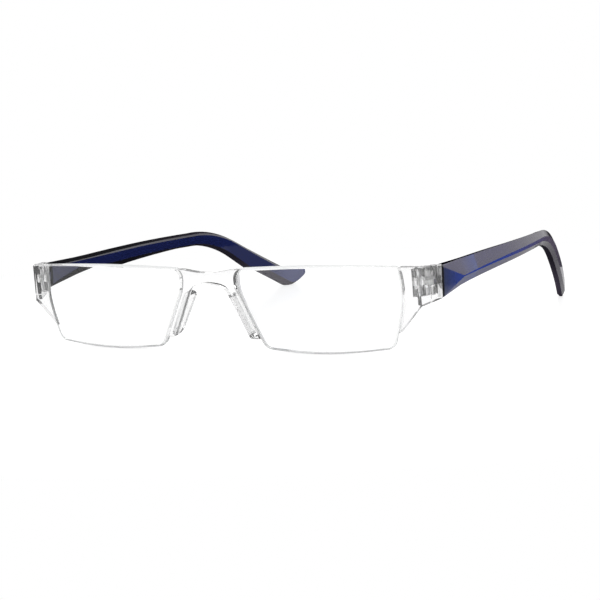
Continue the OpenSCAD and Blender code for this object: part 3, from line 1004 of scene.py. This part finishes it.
def bevelled_copy(node, rounding, crease, join=False, soft_edges=False):
    """A merged copy of a CAD node's mesh, rounded where its faces turn by more than the crease, in degrees.

    Join makes large faces of the triangles first. Soft edges get the second material.
    """
    bm = bmesh.new()
    bm.from_mesh(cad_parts[node].data)
    bmesh.ops.remove_doubles(bm, verts=bm.verts, dist=1e-7)
    if join:
        bmesh.ops.join_triangles(
            bm,
            faces=bm.faces,
            angle_face_threshold=math.radians(12),
            angle_shape_threshold=math.radians(180),
        )
    bmesh.ops.dissolve_limit(bm, angle_limit=math.radians(0.6), verts=bm.verts, edges=bm.edges)
    bmesh.ops.recalc_face_normals(bm, faces=bm.faces)
    sharp = [e for e in bm.edges if e.is_manifold and e.calc_face_angle() > math.radians(crease)]
    made = bmesh.ops.bevel(
        bm,
        geom=sharp,
        offset=rounding,
        offset_type="OFFSET",
        segments=2,
        profile=0.5,
        affect="EDGES",
        clamp_overlap=True,
        material=-1,
    )
    if soft_edges:
        for face in made["faces"]:
            face.material_index = 1
    bmesh.ops.dissolve_degenerate(bm, dist=1e-6, edges=bm.edges)
    return bm


def finished(name, bm, body, materials, nodes):
    """Makes the object of a piece that stands for the CAD nodes and rides on the body."""
    bmesh.ops.recalc_face_normals(bm, faces=bm.faces)
    for face in bm.faces:
        face.smooth = True
    mesh = bpy.data.meshes.new(name)
    bm.to_mesh(mesh)
    bm.free()
    obj = bpy.data.objects.new(name, mesh)
    bpy.context.scene.collection.objects.link(obj)
    for material in materials:
        obj.data.materials.append(material)
    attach(obj, body)
    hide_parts(*nodes)
    return obj


def even_normals(obj):
    """Keeps the flat faces flat beside their rounded edges."""
    made = obj.modifiers.new("Even normals", "WEIGHTED_NORMAL")
    made.mode = "FACE_AREA"
    made.weight = 50
    made.keep_sharp = False


# Pieces


class GLASSES_OT_lenses(bpy.types.Operator):
    """Builds both lenses with their real curves and a rounded, polished edge"""

    bl_idname = "glasses.lenses"
    bl_label = "Lenses"

    def execute(self, context):
        own = context.scene.glasses_lens
        materials = [
            clear_plastic("Lens plastic", own.colour, ior=1.586, ripple=0.0, density=2.0),
            # Painted shade in part: the grey edge draws the lens outline, beside the scatter of its ground
            # finish.
            shaded_soft_edge("Lens edge", own.shaded_edge_colour, clear=0.2),
            shaded_soft_edge("Lens side", own.shaded_edge_colour, clear=0.6, cover=own.side_cover),
        ]
        rings = lens_rings(own)
        edge_rows = range(len(SURFACE_ROWS), len(SURFACE_ROWS) + EDGE_STEPS)
        for side_name, side in SIDES:
            bm = bmesh.new()
            mirrored = [[Vector((side * p.x, p.y, p.z)) for p in ring] for ring in rings]
            for edges in loft(bm, mirrored, edge_rows):
                cap = bmesh.ops.edgeloop_fill(bm, edges=edges)["faces"]
                bmesh.ops.poke(bm, faces=cap)
            self.grind_foot(bm)
            self.mark_sides(bm)
            finished(f"lens_shell_{side_name}", bm, "front", materials, [f"lens_{side_name}"])
        return {"FINISHED"}

    def grind_foot(self, bm):
        """Grinds the flat that the lens stands on."""
        cut(bm, (0, 0, 0), (0, 0, -1), clear_outer=True)
        open_edges = [e for e in bm.edges if e.is_boundary]
        for face in bmesh.ops.holes_fill(bm, edges=open_edges)["faces"]:
            face.material_index = 1

    def mark_sides(self, bm):
        """Gives the sides of the edge the third material, because they are polished and hard to see."""
        bmesh.ops.recalc_face_normals(bm, faces=bm.faces)
        for face in bm.faces:
            if face.material_index and abs(face.normal.x) > 0.5 * (1 - abs(face.normal.y)):
                face.material_index = 2


class GLASSES_OT_bridge(bpy.types.Operator):
    """Builds the bridge with rounded moulded edges"""

    bl_idname = "glasses.bridge"
    bl_label = "Bridge"

    def execute(self, context):
        own = context.scene.glasses_front
        bm = bevelled_copy("bridge", own.rounding, crease=25, soft_edges=True)
        materials = front_materials(own, "Bridge plastic", own.bridge_milk)
        even_normals(finished("bridge_moulding", bm, "front", materials, ["bridge"]))
        return {"FINISHED"}


class GLASSES_OT_nose_rests(bpy.types.Operator):
    """Builds both nose rests with rounded edges"""

    bl_idname = "glasses.nose_rests"
    bl_label = "Nose rests"

    def execute(self, context):
        own = context.scene.glasses_front
        materials = front_materials(own, "Nose rest plastic", own.rest_milk)
        for side_name, _ in SIDES:
            node = f"nose_rest_{side_name}"
            bm = bevelled_copy(node, own.rounding, crease=25, soft_edges=True)
            even_normals(finished(f"nose_fin_{side_name}", bm, "front", materials, [node]))
        return {"FINISHED"}


class GLASSES_OT_endpieces(bpy.types.Operator):
    """Builds both end pieces with rounded edges, the hinge slot and the screw bore"""

    bl_idname = "glasses.endpieces"
    bl_label = "End pieces"

    def execute(self, context):
        own = context.scene.glasses_front
        materials = front_materials(own, "End piece plastic", own.end_milk, ears=own)
        # Their edges are finer than those of the bridge.
        rounding = 0.6 * own.rounding
        for side_name, _ in SIDES:
            node = f"endpiece_{side_name}"
            bm = bevelled_copy(node, rounding, crease=30, soft_edges=True)
            even_normals(finished(f"end_moulding_{side_name}", bm, "front", materials, [node]))
        return {"FINISHED"}


class GLASSES_OT_screws(bpy.types.Operator):
    """Builds both hinge screws with broken edges"""

    bl_idname = "glasses.screws"
    bl_label = "Hinge screws"

    def execute(self, context):
        own = context.scene.glasses_screw
        materials = [steel("Screw steel", own.colour)]
        for side_name, _ in SIDES:
            node = f"hinge_screw_{side_name}"
            bm = bevelled_copy(node, own.rounding, crease=40)
            even_normals(finished(f"screw_{side_name}", bm, "front", materials, [node]))
        return {"FINISHED"}


class GLASSES_OT_temples(bpy.types.Operator):
    """Builds both temples with polished ridges"""

    bl_idname = "glasses.temples"
    bl_label = "Temples"

    def execute(self, context):
        own = context.scene.glasses_temple
        materials = [blue_plastic("Temple plastic", own)]
        for side_name, side in SIDES:
            node = f"temple_{side_name}"
            bm = bevelled_copy(node, own.rounding, crease=14, join=True)
            # Cut across where the painted light of the tail starts to pale, so that the painted colour can
            # change there.
            cut(bm, (0, own.tail_start, 0), (0, 1, 0))
            paint_facet_light(bm, side, own)
            even_normals(finished(f"temple_blade_{side_name}", bm, node, materials, [node]))
        return {"FINISHED"}


# Stage


FLOOR_RADIUS = 2.0
# The floor lies just below the flats that the glasses stand on.
FLOOR_GAP = 0.00002
# Lengths over which the white table ends behind the glasses and beside them.
TABLE_BACK_BORDER = 0.006
TABLE_SIDE_BORDER = 0.03
# Share of the dark room that polished faces see in the table too.
ROOM_SHARE = 0.5
# Heights of a ray's direction: where the dark band at the horizon ends, and over which it fades.
HORIZON_END = 0.02
HORIZON_BORDER = 0.1
# Point that the lamps are aimed at.
LAMP_TARGET = (0, 0, 0.01)
# Width of the camera's sensor, in millimetres.
SENSOR_WIDTH = 36.0


class GLASSES_OT_stage(bpy.types.Operator):
    """Builds the floor, the lamps, the surroundings and the camera"""

    bl_idname = "glasses.stage"
    bl_label = "Stage"

    def execute(self, context):
        own = context.scene.glasses_stage
        scene = context.scene
        self.floor(scene, own)
        self.surroundings(scene, own)
        self.lamp(scene, "Top lamp", place=(0.1, -0.1, 0.9), size=0.8, power=2.2)
        self.lamp(scene, "Left lamp", place=(1.0, -0.3, 0.5), size=0.6, power=2.0)
        self.lamp(scene, "Right lamp", place=(-0.7, -0.7, 0.6), size=0.6, power=1.6)
        self.camera(scene, own)
        scene.view_settings.view_transform = "Standard"
        return {"FINISHED"}

    def floor(self, scene, own):
        bm = bmesh.new()
        bmesh.ops.create_circle(bm, cap_ends=True, radius=FLOOR_RADIUS, segments=96)
        mesh = bpy.data.meshes.new("Floor")
        bm.to_mesh(mesh)
        bm.free()
        floor = bpy.data.objects.new("Floor", mesh)
        scene.collection.objects.link(floor)
        floor.location.z = -FLOOR_GAP
        floor.data.materials.append(self.floor_white(own))

    def floor_white(self, own):
        """A pale floor that looks white to the camera, and to polished faces like a table in a dark room."""
        made, graph = new_material("Floor white")
        through, mirrored = graph.rays()
        seen = through.maximum(mirrored)
        tone = graph.mix(seen, own.floor_colour, own.seen_floor_colour)
        matt = graph.principled({"Base Color": tone, "Roughness": 0.3, "IOR": 1.12})
        near = graph.node("ShaderNodeAddShader", None, {0: matt, 1: graph.glow(own.floor_glow * seen)})
        # Away from the glasses the floor fades into the white surroundings.
        place = graph.place()
        reach = graph.node("ShaderNodeVectorMath", {"operation": "LENGTH"}, {0: place}, "Value")
        fade = reach.rise(own.fade_start, own.fade_length) * through
        pale = graph.blend(fade, near, graph.glow(1.0))
        # Polished faces see the dark room beyond the edge of the white table.
        across, along, _ = graph.split(place)
        behind = along.rise(own.table_depth, TABLE_BACK_BORDER)
        beside = abs(across).rise(own.table_half_width, TABLE_SIDE_BORDER)
        dark = behind.maximum(beside).maximum(ROOM_SHARE) * mirrored
        graph.finish(graph.blend(dark, pale, graph.glow(own.room_level)))
        return made

    def surroundings(self, scene, own):
        world = bpy.data.worlds.new("Surroundings")
        world.use_nodes = True
        scene.world = world
        graph = Graph(world.node_tree)
        through, mirrored = graph.rays()
        height = graph.split(graph.node("ShaderNodeTexCoord", None, None, "Generated"))[2]
        # Polished faces see white softboxes above a dark band at the horizon.
        boxes = own.room_level + (1.0 - own.room_level) * height.rise(HORIZON_END, HORIZON_BORDER)
        level = own.daylight + mirrored * (boxes - own.daylight)
        strength = level + through * (1.0 - level)
        back = graph.node("ShaderNodeBackground", None, {"Color": (1, 1, 1), "Strength": strength})
        graph.node("ShaderNodeOutputWorld", None, {"Surface": back})

    def lamp(self, scene, name, place, size, power):
        data = bpy.data.lights.new(name, "AREA")
        data.shape = "DISK"
        data.size = size
        data.energy = power
        lamp = bpy.data.objects.new(name, data)
        lamp.location = place
        lamp.rotation_euler = (Vector(place) - Vector(LAMP_TARGET)).to_track_quat("Z", "Y").to_euler()
        scene.collection.objects.link(lamp)

    def camera(self, scene, own):
        data = bpy.data.cameras.new("Camera")
        data.lens = own.lens
        data.sensor_width = SENSOR_WIDTH
        camera = bpy.data.objects.new("Camera", data)
        turn = Euler((math.pi / 2 - own.elevation, 0, own.azimuth)).to_matrix()
        turn = turn @ Matrix.Rotation(own.roll, 3, "Z")
        place = Vector(own.target) + turn @ Vector((0, 0, own.distance))
        camera.matrix_world = Matrix.Translation(place) @ turn.to_4x4()
        scene.collection.objects.link(camera)
        scene.camera = camera


# Panel


OPERATORS = (
    GLASSES_OT_lenses,
    GLASSES_OT_bridge,
    GLASSES_OT_nose_rests,
    GLASSES_OT_endpieces,
    GLASSES_OT_screws,
    GLASSES_OT_temples,
    GLASSES_OT_stage,
)


class GLASSES_PT_panel(bpy.types.Panel):
    """Lists the pieces of the glasses"""

    bl_idname = "GLASSES_PT_panel"
    bl_label = "Reading glasses"
    bl_space_type = "VIEW_3D"
    bl_region_type = "UI"
    bl_category = "Glasses"

    def draw(self, context):
        for operator in OPERATORS:
            self.layout.operator(operator.bl_idname)


SETTINGS = {
    "glasses_lens": LensSettings,
    "glasses_front": FrontSettings,
    "glasses_screw": ScrewSettings,
    "glasses_temple": TempleSettings,
    "glasses_stage": StageSettings,
}
CLASSES = (*SETTINGS.values(), *OPERATORS, GLASSES_PT_panel)


def register():
    for cls in CLASSES:
        bpy.utils.register_class(cls)
    for name, cls in SETTINGS.items():
        setattr(bpy.types.Scene, name, bpy.props.PointerProperty(type=cls))


def unregister():
    for name in SETTINGS:
        delattr(bpy.types.Scene, name)
    for cls in reversed(CLASSES):
        bpy.utils.unregister_class(cls)


def main():
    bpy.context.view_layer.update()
    register()
    for operator in OPERATORS:
        group, call = operator.bl_idname.split(".")
        getattr(getattr(bpy.ops, group), call)()


if __name__ == "__main__":
    main()
